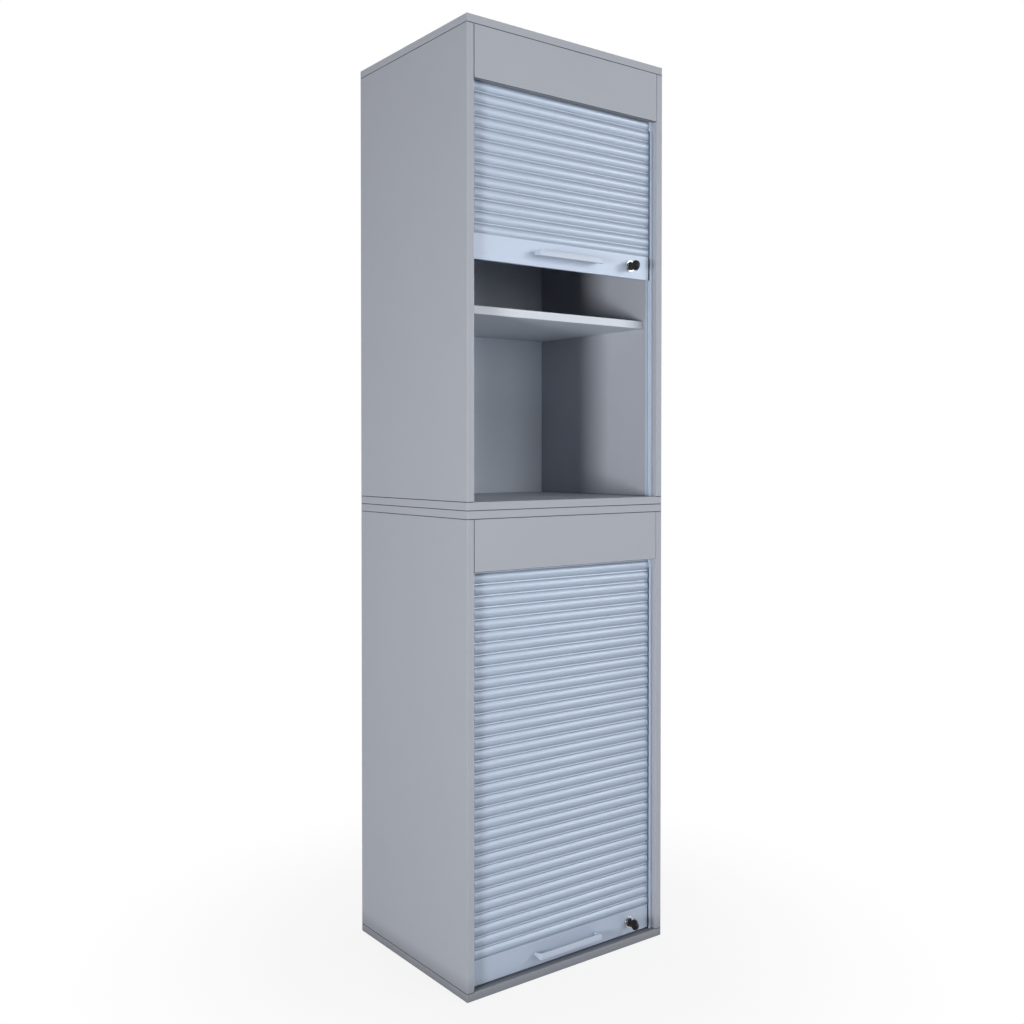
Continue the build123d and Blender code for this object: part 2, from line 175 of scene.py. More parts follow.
def sum_of(tree: Tree, operation: str, *values: Socket | float) -> Socket:
    """Add one sum to a node tree.

    Args:
        tree: The nodes.
        operation: The kind of sum, as the math node names it.
        values: Sockets or plain numbers, in the node's order.

    Returns:
        The sum's output.
    """
    node = tree.nodes.new("ShaderNodeMath")
    node.operation = operation
    for socket, value in zip(node.inputs, values):
        if isinstance(value, float):
            socket.default_value = value
        else:
            tree.links.new(value, socket)
    return node.outputs[0]


def mix_of(tree: Tree, share: Socket, first: Socket, second: Socket | Colour) -> Socket:
    """Add a mix of two colours to a node tree.

    Args:
        tree: The nodes.
        share: The second colour's share.
        first: The first colour.
        second: The second colour, from a socket or the same all over.

    Returns:
        The mixed colour.
    """
    mix = tree.nodes.new("ShaderNodeMix")
    mix.data_type = "RGBA"
    tree.links.new(share, mix.inputs["Factor"])
    tree.links.new(first, mix.inputs["A"])
    if isinstance(second, tuple):
        mix.inputs["B"].default_value = second
    else:
        tree.links.new(second, mix.inputs["B"])
    return mix.outputs["Result"]


def noise_of(tree: Tree, place: Socket, scale: float, detail: float) -> Socket:
    """Add a noise pattern to a node tree.

    Args:
        tree: The nodes.
        place: Where the pattern is read.
        scale: How fine it is.
        detail: How many finer layers it has.

    Returns:
        The pattern's value.
    """
    noise = tree.nodes.new("ShaderNodeTexNoise")
    noise.inputs["Scale"].default_value = scale
    noise.inputs["Detail"].default_value = detail
    tree.links.new(place, noise.inputs["Vector"])
    return noise.outputs["Fac"]


def axes_of(tree: Tree, vector: Socket) -> dict[str, Socket]:
    """Split a vector into its three parts.

    Args:
        tree: The nodes.
        vector: The vector.

    Returns:
        Its parts by their axis.
    """
    split = tree.nodes.new("ShaderNodeSeparateXYZ")
    tree.links.new(vector, split.inputs[0])
    return {axis: split.outputs[axis] for axis in "XYZ"}


def new_group(name: str, inputs: dict[str, str], outputs: dict[str, str]) -> Tree:
    """Start a shader node group with its sockets.

    Args:
        name: The group's name.
        inputs: Each input's kind by its name.
        outputs: Each output's kind by its name.

    Returns:
        The group, with no nodes yet.
    """
    group = bpy.data.node_groups.new(name, "ShaderNodeTree")
    for side, sockets in (("INPUT", inputs), ("OUTPUT", outputs)):
        for socket, kind in sockets.items():
            group.interface.new_socket(socket, in_out=side, socket_type=f"NodeSocket{kind}")
    return group


def place_group(tree: Tree, group: Tree, values: dict[str, float | Colour | Triple]) -> bpy.types.Node:
    """Place a node group in a material with its own values.

    Args:
        tree: The material's nodes.
        group: The group.
        values: The group's inputs by name.

    Returns:
        The placed group.
    """
    node = tree.nodes.new("ShaderNodeGroup")
    node.node_tree = group
    for name, value in values.items():
        node.inputs[name].default_value = value
    return node


def surface_grain_group() -> Tree:
    """Build the shared node group for fine speckle or brushing on a finish.

    Returns:
        The group, with a colour, a roughness and a height that vary over the surface.
    """
    numbers = ("Amount", "Roughness", "Roughness Spread")
    group = new_group(
        "surface_grain",
        {"Colour": "Color", "Shade Colour": "Color", **dict.fromkeys(numbers, "Float"), "Stretch": "Vector"},
        {"Colour": "Color", "Roughness": "Float", "Height": "Float"},
    )
    nodes, links = group.nodes, group.links
    given = nodes.new("NodeGroupInput").outputs
    out = nodes.new("NodeGroupOutput").inputs
    place = nodes.new("ShaderNodeTexCoord").outputs["Object"]
    stretched = nodes.new("ShaderNodeVectorMath")
    stretched.operation = "MULTIPLY"
    links.new(place, stretched.inputs[0])
    links.new(given["Stretch"], stretched.inputs[1])
    fine = noise_of(group, stretched.outputs[0], FINE_SCALE, FINE_DETAIL)
    broad = noise_of(group, place, BROAD_SCALE, BROAD_DETAIL)
    both = sum_of(group, "MULTIPLY_ADD", fine, FINE_SHARE, broad)
    share = sum_of(group, "MULTIPLY", both, given["Amount"])
    rough = sum_of(group, "MULTIPLY_ADD", fine, given["Roughness Spread"], given["Roughness"])
    links.new(mix_of(group, share, given["Colour"], given["Shade Colour"]), out["Colour"])
    links.new(rough, out["Roughness"])
    links.new(fine, out["Height"])
    return group


def painted_shade_group() -> Tree:
    """Build the shared node group for painted shade: dark joint lines on the boards, a shaded lower face and
    a shaded ledge.

    Returns:
        The group, with a mask that is 1 where the board is darkest.
    """
    sockets = ("Edges", "Open Front", "Uprights", "Inner Width", "Height")
    group = new_group("painted_shade_nodes", dict.fromkeys(sockets, "Float"), {"Seam": "Float"})
    given = group.nodes.new("NodeGroupInput").outputs
    tilt = axes_of(group, group.nodes.new("ShaderNodeNewGeometry").outputs["True Normal"])
    where = axes_of(group, group.nodes.new("ShaderNodeTexCoord").outputs["Object"])

    def less(value: Socket, limit: Socket | float) -> Socket:
        """Where a value is below a limit."""
        return sum_of(group, "LESS_THAN", value, limit)

    def more(value: Socket, limit: Socket | float) -> Socket:
        """Where a value is above a limit."""
        return sum_of(group, "GREATER_THAN", value, limit)

    def all_of(*masks: Socket | float) -> Socket:
        """Where every mask is set, at the strength of their product."""
        return reduce(lambda mask, other: sum_of(group, "MULTIPLY", mask, other), masks)

    def broken(axis: str) -> Socket:
        """Where a face lies aslant to an axis, as a broken edge does."""
        slope = sum_of(group, "ABSOLUTE", tilt[axis])
        return all_of(more(slope, BROKEN), less(slope, FLAT))

    # Painted shade: dark lines on the broken edges along the board joints.
    below_top = less(where["Z"], sum_of(group, "SUBTRACT", given["Height"], JOINT_SHADE_CLEARANCE))
    inside = all_of(more(where["Z"], JOINT_SHADE_CLEARANCE), below_top)
    between = less(sum_of(group, "ABSOLUTE", where["X"]), given["Inner Width"])
    facing = all_of(less(tilt["Y"], -BROKEN), more(tilt["Z"], BROKEN))
    bare = all_of(between, facing, given["Open Front"])
    along = all_of(broken("Z"), inside, sum_of(group, "SUBTRACT", 1.0, bare))
    # Painted shade on a board's lower face, at half the darkness of a joint line.
    shaded_underside = all_of(less(tilt["Z"], -FLAT), UNDERSIDE_SHADE)
    upright = sum_of(group, "MAXIMUM", broken("X"), shaded_underside)
    joints = sum_of(group, "MAXIMUM", all_of(along, given["Edges"]), all_of(upright, given["Uprights"]))
    # Painted shade on the ledge in front of the shutter, darkest at the bar.
    ledge = all_of(more(tilt["Z"], FLAT), less(where["Z"], LEDGE_HEIGHT), less(where["Y"], LEDGE_REAR))
    inwards = sum_of(group, "MULTIPLY_ADD", where["Y"], LEDGE_SHADE_RISE, LEDGE_SHADE_OFFSET)
    ledge_shade = all_of(ledge, sum_of(group, "MINIMUM", inwards, LEDGE_SHADE_MOST), given["Open Front"])
    seam = sum_of(group, "MAXIMUM", joints, ledge_shade)
    group.links.new(seam, group.nodes.new("NodeGroupOutput").inputs["Seam"])
    return group


def painted_floor_shade_group() -> Tree:
    """Build the shared node group for the painted shade that darkens the boards towards the floor.

    Returns:
        The group, with an uneven mask that is strongest at the floor and fades above it.
    """
    group = new_group("painted_floor_shade", {"Reach": "Float", "Unevenness": "Float"}, {"Floor Shade": "Float"})
    given = group.nodes.new("NodeGroupInput").outputs
    place = group.nodes.new("ShaderNodeTexCoord").outputs["Object"]
    fade = group.nodes.new("ShaderNodeMapRange")
    fade.inputs["To Min"].default_value = 1.0
    fade.inputs["To Max"].default_value = 0.0
    group.links.new(axes_of(group, place)["Z"], fade.inputs["Value"])
    group.links.new(given["Reach"], fade.inputs["From Max"])
    patches = noise_of(group, place, FLOOR_SHADE_SCALE, FLOOR_SHADE_DETAIL)
    kept = sum_of(group, "SUBTRACT", 1.0, sum_of(group, "MULTIPLY", patches, given["Unevenness"]))
    floor_shade = sum_of(group, "MULTIPLY", fade.outputs["Result"], kept)
    group.links.new(floor_shade, group.nodes.new("NodeGroupOutput").inputs["Floor Shade"])
    return group


@dataclass(frozen=True)
class Palette:
    """The node groups that the finishes share."""

    grain: Tree
    seam: Tree
    floor_shade: Tree


@dataclass(frozen=True)
class Finish:
    """One surface finish, with its fine variation in colour, gloss and relief."""

    name: str
    colour: Colour
    shade: Colour
    roughness: float = 0.45
    spread: float = 0.10
    amount: float = 0.10
    relief: float = 0.02
    metallic: float = 0.0
    specular: float = 0.5
    grain: Grain = Grain.SPECKLE
    shaded_seams: ShadedSeams = ShadedSeams.NONE

    def material(self, palette: Palette) -> bpy.types.Material:
        """Make the finish's material once and give it back on later calls.

        Args:
            palette: The shared node groups.

        Returns:
            The material.
        """
        known = bpy.data.materials.get(self.name)
        if known is not None:
            return known
        material = bpy.data.materials.new(self.name)
        material.use_nodes = True
        tree = material.node_tree
        shader = tree.nodes["Principled BSDF"].inputs
        shader["Metallic"].default_value = self.metallic
        shader["Specular IOR Level"].default_value = self.specular
        surface = place_group(
            tree,
            palette.grain,
            {
                "Colour": self.colour,
                "Shade Colour": self.shade,
                "Amount": self.amount,
                "Roughness": self.roughness - self.spread / 2,
                "Roughness Spread": self.spread,
                "Stretch": self.grain.value,
            },
        ).outputs
        bump = tree.nodes.new("ShaderNodeBump")
        bump.inputs["Strength"].default_value = self.relief
        bump.inputs["Distance"].default_value = RELIEF_DEPTH
        colour = surface["Colour"]
        # Painted shade near the floor, along the joints, under the fascia and on the ledge.
        if self.shaded_seams is not ShadedSeams.NONE:
            colour = self.with_painted_shade(tree, self.with_floor_shade(tree, colour, palette), palette)
        tree.links.new(colour, shader["Base Color"])
        tree.links.new(surface["Roughness"], shader["Roughness"])
        tree.links.new(surface["Height"], bump.inputs["Height"])
        tree.links.new(bump.outputs["Normal"], shader["Normal"])
        return material

    def with_floor_shade(self, tree: Tree, colour: Socket, palette: Palette) -> Socket:
        """Darken a colour towards the floor with painted shade.

        Args:
            tree: The material's nodes.
            colour: The board's own colour.
            palette: The shared node groups.

        Returns:
            The colour with its painted floor shade.
        """
        floor_shade = place_group(tree, palette.floor_shade, {"Reach": FLOOR_SHADE_REACH, "Unevenness": FLOOR_SHADE_UNEVENNESS})
        return mix_of(tree, floor_shade.outputs["Floor Shade"], colour, FLOOR_SHADE_COLOUR)

    def with_painted_shade(self, tree: Tree, colour: Socket, palette: Palette) -> Socket:
        """Paint shade on a colour along the joints between boards, under the fascia and on the ledge.

        Args:
            tree: The material's nodes.
            colour: The board's own colour.
            palette: The shared node groups.

        Returns:
            The colour with its seams.
        """
        values = dict(zip(("Edges", "Open Front", "Uprights"), self.shaded_seams.value))
        values["Inner Width"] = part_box("lower_right_side")[0][0]
        values["Height"] = CAD_BOX[1][2]
        seam = place_group(tree, palette.seam, values)
        return mix_of(tree, seam.outputs["Seam"], colour, PAINTED_SHADE_COLOUR)


PANEL = Finish(
    "melamine_panel", srgb(166, 170, 179), srgb(150, 154, 163),
    roughness=0.58, amount=0.16, relief=0.04, specular=0.25, shaded_seams=ShadedSeams.EDGES,
)
SIDE = replace(PANEL, name="melamine_side", grain=Grain.UPRIGHT)
SILL = replace(PANEL, name="melamine_sill", shaded_seams=ShadedSeams.OPEN_FRONT)
FASCIA = replace(PANEL, name="melamine_fascia", shaded_seams=ShadedSeams.UPRIGHTS)
PALE = Finish(
    "pale_board", srgb(220, 227, 237), srgb(208, 215, 225),
    roughness=0.55, amount=0.12, relief=0.03, specular=0.25,
)
SHELF = replace(PALE, name="shelf_board", colour=srgb(209, 215, 224), shade=srgb(198, 204, 213))
SLAT = Finish("satin_slat", srgb(164, 177, 195), srgb(150, 163, 181), spread=0.06, metallic=0.2)
RAIL = Finish(
    "plastic_rail", srgb(180, 194, 212), srgb(167, 181, 199), spread=0.08, amount=0.12, relief=0.03
)
BAR = Finish(
    "satin_bar", srgb(168, 180, 198), srgb(155, 167, 185),
    roughness=0.5, spread=0.06, metallic=0.2, grain=Grain.BRUSHED,
)
HANDLE = Finish(
    "satin_handle", srgb(180, 191, 208), srgb(166, 178, 196), roughness=0.40, spread=0.06, amount=0.08
)
GLIDE = Finish(
    "dark_plastic", srgb(108, 113, 121), srgb(88, 92, 99), roughness=0.55, amount=0.20, relief=0.05
)
CHROME = Finish(
    "polished_ring", srgb(186, 188, 192), srgb(160, 162, 168),
    roughness=0.22, spread=0.06, relief=0.01, metallic=1.0,
)
STEEL = Finish(
    "satin_steel", srgb(170, 172, 176), srgb(140, 142, 148), roughness=0.30, amount=0.20, metallic=1.0
)
PIN = Finish("grey_pin", srgb(160, 164, 172), srgb(140, 144, 152), roughness=0.50, amount=0.15)
BLACK = Finish("black_key", srgb(14, 14, 15), srgb(24, 24, 26), amount=0.25, relief=0.05, specular=0.3)
BEECH = Finish(
    "bare_beech", srgb(196, 164, 122), srgb(168, 134, 94), roughness=0.70, amount=0.40, relief=0.10
)

NODE_FINISHES: dict[str, Finish] = {
    "bottom_panel": SILL,
    "top_panel": PANEL,
    "left_side": SIDE,
    "right_side": SIDE,
    "fascia": FASCIA,
    "shelf": SHELF,
    "back_panel": PALE,
    "left_rail": RAIL,
    "right_rail": RAIL,
    "left_spiral": RAIL,
    "right_spiral": RAIL,
    "slats": SLAT,
    "end_bar": BAR,
    "bar_glides": GLIDE,
    "handle": HANDLE,
    "lock_housing": CHROME,
    "lock_plug": STEEL,
    "lock_cam": STEEL,
    "key": BLACK,
    "shelf_pins": PIN,
    "carcass_dowels": BEECH,
    "dowels": BEECH,
}


def deselect_all() -> None:
    """Go back to object mode with nothing selected."""
    if bpy.context.object is not None and bpy.context.object.mode != "OBJECT":
        bpy.ops.object.mode_set(mode="OBJECT")
    bpy.ops.object.select_all(action="DESELECT")


def take(piece: Piece) -> None:
    """Make a piece the only selected and active object.

    Args:
        piece: The object to take.
    """
    deselect_all()
    piece.select_set(True)
    bpy.context.view_layer.objects.active = piece


def start_picking(kind: str) -> None:
    """Deselect the whole active mesh before its parts are picked in object mode.

    Args:
        kind: What is picked, FACE or EDGE.
    """
    bpy.ops.object.mode_set(mode="EDIT")
    bpy.ops.mesh.select_mode(type=kind)
    bpy.ops.mesh.select_all(action="DESELECT")
    bpy.ops.object.mode_set(mode="OBJECT")


def pick_faces(piece: Piece, wanted: Callable[[Vector, Vector], bool]) -> None:
    """Select a piece's faces in edit mode by their centre and normal.

    Args:
        piece: The active object.
        wanted: Test on a face's centre and normal.
    """
    start_picking("FACE")
    for face in piece.data.polygons:
        face.select = wanted(face.center, face.normal)
    bpy.ops.object.mode_set(mode="EDIT")


def pick_edges(piece: Piece, wanted: Callable[[Vector, Vector], bool]) -> None:
    """Select a piece's edges in edit mode by their two ends.

    Args:
        piece: The active object.
        wanted: Test on an edge's two ends.
    """
    start_picking("EDGE")
    points = piece.data.vertices
    for edge in piece.data.edges:
        edge.select = wanted(points[edge.vertices[0]].co, points[edge.vertices[1]].co)
    bpy.ops.object.mode_set(mode="EDIT")


def add_block(middle: Vector, size: Vector) -> Piece:
    """Add a block to be shaped further.

    Args:
        middle: Its middle.
        size: Its three sides.

    Returns:
        The block, at the origin with its place in its mesh.
    """
    deselect_all()
    bpy.ops.mesh.primitive_cube_add(size=1.0, location=middle)
    block = bpy.context.object
    block.scale = size
    bpy.ops.object.transform_apply(location=True, rotation=True, scale=True)
    return block


def add_rod(middle: Vector, radius: float, length: float, turn: Triple, sides: int) -> Piece:
    """Add a round rod or disc to be shaped further.

    Args:
        middle: Its middle.
        radius: Its radius.
        length: Its length.
        turn: How it is turned from standing upright.
        sides: How many flat sides make it round.

    Returns:
        The rod, at the origin with its place in its mesh.
    """
    deselect_all()
    bpy.ops.mesh.primitive_cylinder_add(
        vertices=sides, radius=radius, depth=length, location=middle, rotation=turn
    )
    rod = bpy.context.object
    bpy.ops.object.transform_apply(location=True, rotation=True, scale=True)
    return rod


def split(point: Triple, normal: Triple) -> None:
    """Run new edges round the active mesh where a plane meets it.

    Args:
        point: A point of the plane.
        normal: The plane's normal.
    """
    bpy.ops.object.mode_set(mode="EDIT")
    bpy.ops.mesh.select_all(action="SELECT")
    bpy.ops.mesh.bisect(plane_co=point, plane_no=normal)


def extrude(way: Triple) -> None:
    """Extrude the faces selected in edit mode along a way."""
    bpy.ops.mesh.extrude_region_move(TRANSFORM_OT_translate={"value": way})


def ease_edges(piece: Piece, width: float, segments: int = 3, angle: float = 50.0) -> None:
    """Round a piece's sharp edges and leave its smooth bends alone.

    Args:
        piece: The object.
        width: The width of the rounding.
        segments: How many strips it has.
        angle: Edges sharper than this, in degrees, are rounded.
    """
    take(piece)
    bevel = piece.modifiers.new("eased_edges", "BEVEL")
    bevel.width = width
    bevel.segments = segments
    bevel.limit_method = "ANGLE"
    bevel.angle_limit = math.radians(angle)
    bpy.ops.object.modifier_apply(modifier=bevel.name)


def cut_away(piece: Piece, cutter: Piece) -> None:
    """Cut one shape out of a piece and throw the cutter away.

    Args:
        piece: The object to cut.
        cutter: The shape to take out of it.
    """
    take(piece)
    cut = piece.modifiers.new("cut", "BOOLEAN")
    cut.object = cutter
    cut.operation = "DIFFERENCE"
    bpy.ops.object.modifier_apply(modifier=cut.name)
    bpy.data.objects.remove(cutter, do_unlink=True)


def join(parts: list[Piece], name: str) -> Piece:
    """Join parts to one piece.

    Args:
        parts: The parts, the leading one first.
        name: The piece's name.

    Returns:
        The piece.
    """
    deselect_all()
    for part in parts:
        part.select_set(True)
    bpy.context.view_layer.objects.active = parts[0]
    bpy.ops.object.join()
    parts[0].name = name
    return parts[0]


def settle(piece: Piece, angle: float = 35.0) -> Piece:
    """Apply a piece's place, point its faces outwards and smooth its round faces.

    Args:
        piece: The object to finish.
        angle: Edges flatter than this, in degrees, are smoothed.

    Returns:
        The finished piece.
    """
    take(piece)
    bpy.ops.object.transform_apply(location=True, rotation=True, scale=True)
    bpy.ops.object.mode_set(mode="EDIT")
    bpy.ops.mesh.select_all(action="SELECT")
    bpy.ops.mesh.remove_doubles(threshold=WELD)
    bpy.ops.mesh.normals_make_consistent(inside=False)
    bpy.ops.object.mode_set(mode="OBJECT")
    bpy.ops.object.shade_smooth_by_angle(angle=math.radians(angle))
    return piece


def copy_of(master: Piece, name: str, place: Matrix) -> Piece:
    """Copy a finished piece with its own mesh, moved into place.

    Args:
        master: The piece to copy.
        name: The copy's name.
        place: Where the copy's mesh goes.

    Returns:
        The copy, at the origin with its place in its mesh.
    """
    mesh = master.data.copy()
    mesh.transform(place)
    piece = bpy.data.objects.new(name, mesh)
    bpy.context.collection.objects.link(piece)
    return piece


def dress(piece: Piece, finish: Finish, palette: Palette) -> None:
    """Give a piece one finish all over and report it.

    Args:
        piece: The object.
        finish: Its finish.
        palette: The shared node groups.
    """
    piece.data.materials.clear()
    piece.data.materials.append(finish.material(palette))
    LOG.info("%s: %s", piece.name, finish.name)


def follow_share(piece: Piece, moving: str, share: float) -> None:
    """Attach a piece to the sliding body when it follows the whole slide, and otherwise only apply its place
    so it stays where it hangs.

    Args:
        piece: The piece, with no parent.
        moving: The body that slides.
        share: The share of the slide's travel, from 0 to 1.
    """
    if share >= WHOLE_SHARE:
        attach(piece, moving)
        return
    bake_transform(piece)


@dataclass
class Slat:
    """One linked slat of a shutter, modelled with its lower pivot on the x axis.

    Each step of the neck gives its depth, and its width as a share of the step before.
    """

    pitch: float = 22.33 * MM
    thickness: float = 4.4 * MM
    bottom: float = 2.9 * MM
    rim: float = 23.7 * MM
    hump_foot: float = 3.5 * MM
    hump_length: float = 16.0 * MM
    hump_height: float = 3.0 * MM
    hump_seat: float = 0.2 * MM
    hump_end: float = 1.2 * MM
    hump_sides: int = 96
    tongue_x: float = 229.6 * MM
    hump_x: float = 224.4 * MM
    edge: float = 0.25 * MM
    groove_low: float = 19.2 * MM
    groove_high: float = 20.9 * MM
    groove_depth: float = 1.9 * MM
    neck: tuple[tuple[float, float], ...] = (
        (1.7 * MM, 0.2), (0.7 * MM, 3.9), (1.2 * MM, 1.0), (0.7 * MM, 0.4)
    )
    smooth_angle: float = 30.0

    def plate(self) -> Piece:
        """Model the flat body with its neck and bead.

        Returns:
            The plate.
        """
        height = self.rim - self.bottom
        middle = Vector((0.0, 0.0, self.bottom + height / 2))
        plate = add_block(middle, Vector((2 * self.tongue_x, self.thickness, height)))
        pick_edges(plate, lambda a, b: abs(a.x - b.x) > self.tongue_x)
        bpy.ops.mesh.bevel(offset=self.edge, segments=2, affect="EDGES")
        self.cut_groove(plate)
        pick_faces(plate, lambda centre, normal: normal.z < -STRAIGHT)
        for depth, width in self.neck:
            extrude((0.0, 0.0, -depth))
            bpy.ops.transform.resize(value=(1.0, width, 1.0))
        bpy.ops.object.mode_set(mode="OBJECT")
        return plate

    def cut_groove(self, plate: Piece) -> None:
        """Sink the fine groove that runs between the hump and the slat's upper rim.

        Args:
            plate: The slat's flat body.
        """
        low, high = self.groove_low, self.groove_high
        for height in (low, high):
            split((0.0, 0.0, height), Z_AXIS)
        pick_faces(plate, lambda centre, normal: normal.y < -STRAIGHT and low < centre.z < high)
        extrude((0.0, self.groove_depth, 0.0))

    def hump(self) -> Piece:
        """Model the convex front as a slice of a round bar with softened ends.

        Returns:
            The hump.
        """
        half = self.hump_length / 2
        radius = (half**2 + self.hump_height**2) / (2 * self.hump_height)
        face = -self.thickness / 2
        centre = Vector((0.0, face - self.hump_height + radius, self.hump_foot + half))
        hump = add_rod(centre, radius, 2 * self.hump_x, TURN_TO_X, self.hump_sides)
        bpy.ops.object.mode_set(mode="EDIT")
        bpy.ops.mesh.select_all(action="SELECT")
        seat = (0.0, face + self.hump_seat, 0.0)
        bpy.ops.mesh.bisect(plane_co=seat, plane_no=Y_AXIS, use_fill=True, clear_outer=True)
        pick_faces(hump, lambda place, normal: abs(normal.x) > STRAIGHT)
        bpy.ops.mesh.bevel(offset=self.hump_end, segments=3, affect="EDGES")
        bpy.ops.object.mode_set(mode="OBJECT")
        return hump

    def model(self) -> Piece:
        """Join plate and hump to one slat.

        Returns:
            The finished slat.
        """
        return settle(join([self.plate(), self.hump()], "slat_master"), self.smooth_angle)


@dataclass
class Handle:
    """Bow handle: a flat strip on two legs that narrow to the bar, with rounded bends and eased edges."""

    low: Vector
    high: Vector
    strip: float = 3.5 * MM
    leg: float = 4.5 * MM
    foot_share: float = 0.5
    bend: float = 2.5 * MM
    inner_bend: float = 3.0 * MM
    bend_segments: int = 6
    edge: float = 0.6 * MM
    smooth_angle: float = 40.0

    def build(self, name: str) -> Piece:
        """Model the handle in its place on the bar.

        Args:
            name: The handle's name.

        Returns:
            The finished handle.
        """
        length = self.high.x - self.low.x
        height = self.high.z - self.low.z
        middle = (self.low + self.high) / 2
        place = Vector((middle.x, self.low.y + self.strip / 2, middle.z))
        handle = add_block(place, Vector((length, self.strip, height)))
        handle.name = name
        inner = length / 2 - self.leg
        for side in (-inner, inner):
            split((middle.x + side, 0.0, 0.0), X_AXIS)
        pick_faces(handle, lambda centre, normal: normal.y > STRAIGHT and abs(centre.x - middle.x) > inner)
        extrude((0.0, self.high.y - self.low.y - self.strip, 0.0))
        bpy.ops.transform.resize(value=(1.0, 1.0, self.foot_share))
        front, back, leg_side = self.low.y, self.low.y + self.strip, inner + NEAR

        def upright(start: Vector, end: Vector) -> bool:
            """Whether an edge runs up the whole strip."""
            return abs(start.z - end.z) > WHOLE_LENGTH * height

        pick_edges(handle, lambda a, b: upright(a, b) and a.y < front + NEAR and abs(a.x) > leg_side)
        bpy.ops.mesh.bevel(offset=self.bend, segments=self.bend_segments, affect="EDGES")
        pick_edges(handle, lambda a, b: upright(a, b) and abs(a.y - back) < NEAR and abs(a.x) < leg_side)
        bpy.ops.mesh.bevel(offset=self.inner_bend, segments=self.bend_segments, affect="EDGES")
        ease_edges(handle, self.edge)
        return settle(handle, self.smooth_angle)


@dataclass
class Lock:
    """Cam lock's face: a bright stepped ring, and the key with a round bow.

    The key's shoulder, neck and blade lie on the axis, each with its middle so far behind the bow's rear.
    """

    axis: Vector
    ring_front: float
    key_low: Vector
    ring_radius: float = 12.0 * MM
    ring_step: float = 3.2 * MM
    ring_wall: float = 0.4 * MM
    ring_sink: float = 0.9 * MM
    ring_height: float = 3.0 * MM
    ring_edge: float = 0.5 * MM
    ring_sides: int = 64
    plug_radius: float = 7.05 * MM
    bore_wall: float = 0.02 * MM
    bow_radius: float = 10.5 * MM
    bow_thickness: float = 4.5 * MM
    bow_rim: float = 2.2 * MM
    bow_dish: float = 0.5 * MM
    bow_edge: float = 0.6 * MM
    bow_sides: int = 48
    hole_radius: float = 1.75 * MM
    shoulder: Vector = field(default_factory=lambda: Vector((4.5, 4.2, 17.0)) * MM)
    shoulder_behind: float = 2.9 * MM
    neck: Vector = field(default_factory=lambda: Vector((4.05, 7.2, 11.0)) * MM)
    neck_behind: float = 0.6 * MM
    blade: Vector = field(default_factory=lambda: Vector((2.0, 16.0, 8.0)) * MM)
    blade_behind: float = 10.0 * MM
    block_ease: float = 0.22

    def ring(self, name: str) -> Piece:
        """Model the ring as a turned disc with a stepped, hollowed front.

        Args:
            name: The ring's name.

        Returns:
            The finished ring.
        """
        middle = Vector((self.axis.x, self.ring_front + self.ring_height / 2, self.axis.z))
        ring = add_rod(middle, self.ring_radius, self.ring_height, TURN_TO_Y, self.ring_sides)
        ring.name = name
        pick_faces(ring, lambda centre, normal: normal.y < -STRAIGHT)
        floor = self.ring_radius - self.ring_step - self.ring_wall - self.plug_radius
        bpy.ops.mesh.inset(thickness=self.ring_step, depth=0.0)
        bpy.ops.mesh.inset(thickness=self.ring_wall, depth=-self.ring_sink)
        bpy.ops.mesh.inset(thickness=floor, depth=0.0)
        bpy.ops.mesh.inset(thickness=self.bore_wall, depth=-self.ring_height)
        bpy.ops.mesh.delete(type="FACE")
        ease_edges(ring, self.ring_edge, angle=40.0)
        return settle(ring)

    def disc(self, radius: float, thickness: float, y: float) -> Piece:
        """Add a round plate that stands upright across the lock's axis.

        Args:
            radius: Its radius.
            thickness: Its thickness.
            y: Its middle along the axis.

        Returns:
            The plate.
        """
        middle = Vector((self.axis.x, y, self.axis.z))
        return add_rod(middle, radius, thickness, TURN_TO_X, self.bow_sides)

    def block(self, size: Vector, y: float) -> Piece:
        """Add a block with eased edges on the lock's axis.

        Args:
            size: Its three sides.
            y: Its middle along the axis.

        Returns:
            The block.
        """
        block = add_block(Vector((self.axis.x, y, self.axis.z)), size)
        bpy.ops.object.mode_set(mode="EDIT")
        bpy.ops.mesh.select_all(action="SELECT")
        bpy.ops.mesh.bevel(offset=min(size) * self.block_ease, segments=2, affect="EDGES")
        bpy.ops.object.mode_set(mode="OBJECT")
        return block

    def key(self, name: str) -> Piece:
        """Model the key with a dished round bow, a neck, a shoulder and the blade.

        Args:
            name: The key's name.

        Returns:
            The finished key.
        """
        bow_y = self.key_low.y + self.bow_radius
        bow = self.disc(self.bow_radius, self.bow_thickness, bow_y)
        pick_faces(bow, lambda centre, normal: abs(normal.x) > STRAIGHT)
        bpy.ops.mesh.inset(thickness=self.bow_rim, depth=0.0, use_individual=True)
        bpy.ops.mesh.inset(thickness=self.bow_dish, depth=-self.bow_dish, use_individual=True)
        cut_away(bow, self.disc(self.hole_radius, 2 * self.bow_thickness, bow_y - self.bow_radius / 2))
        ease_edges(bow, self.bow_edge)
        rear = bow_y + self.bow_radius
        shoulder = self.block(self.shoulder, rear + self.shoulder_behind)
        neck = self.block(self.neck, rear + self.neck_behind)
        blade = self.block(self.blade, rear + self.blade_behind)
        return settle(join([bow, shoulder, neck, blade], name))


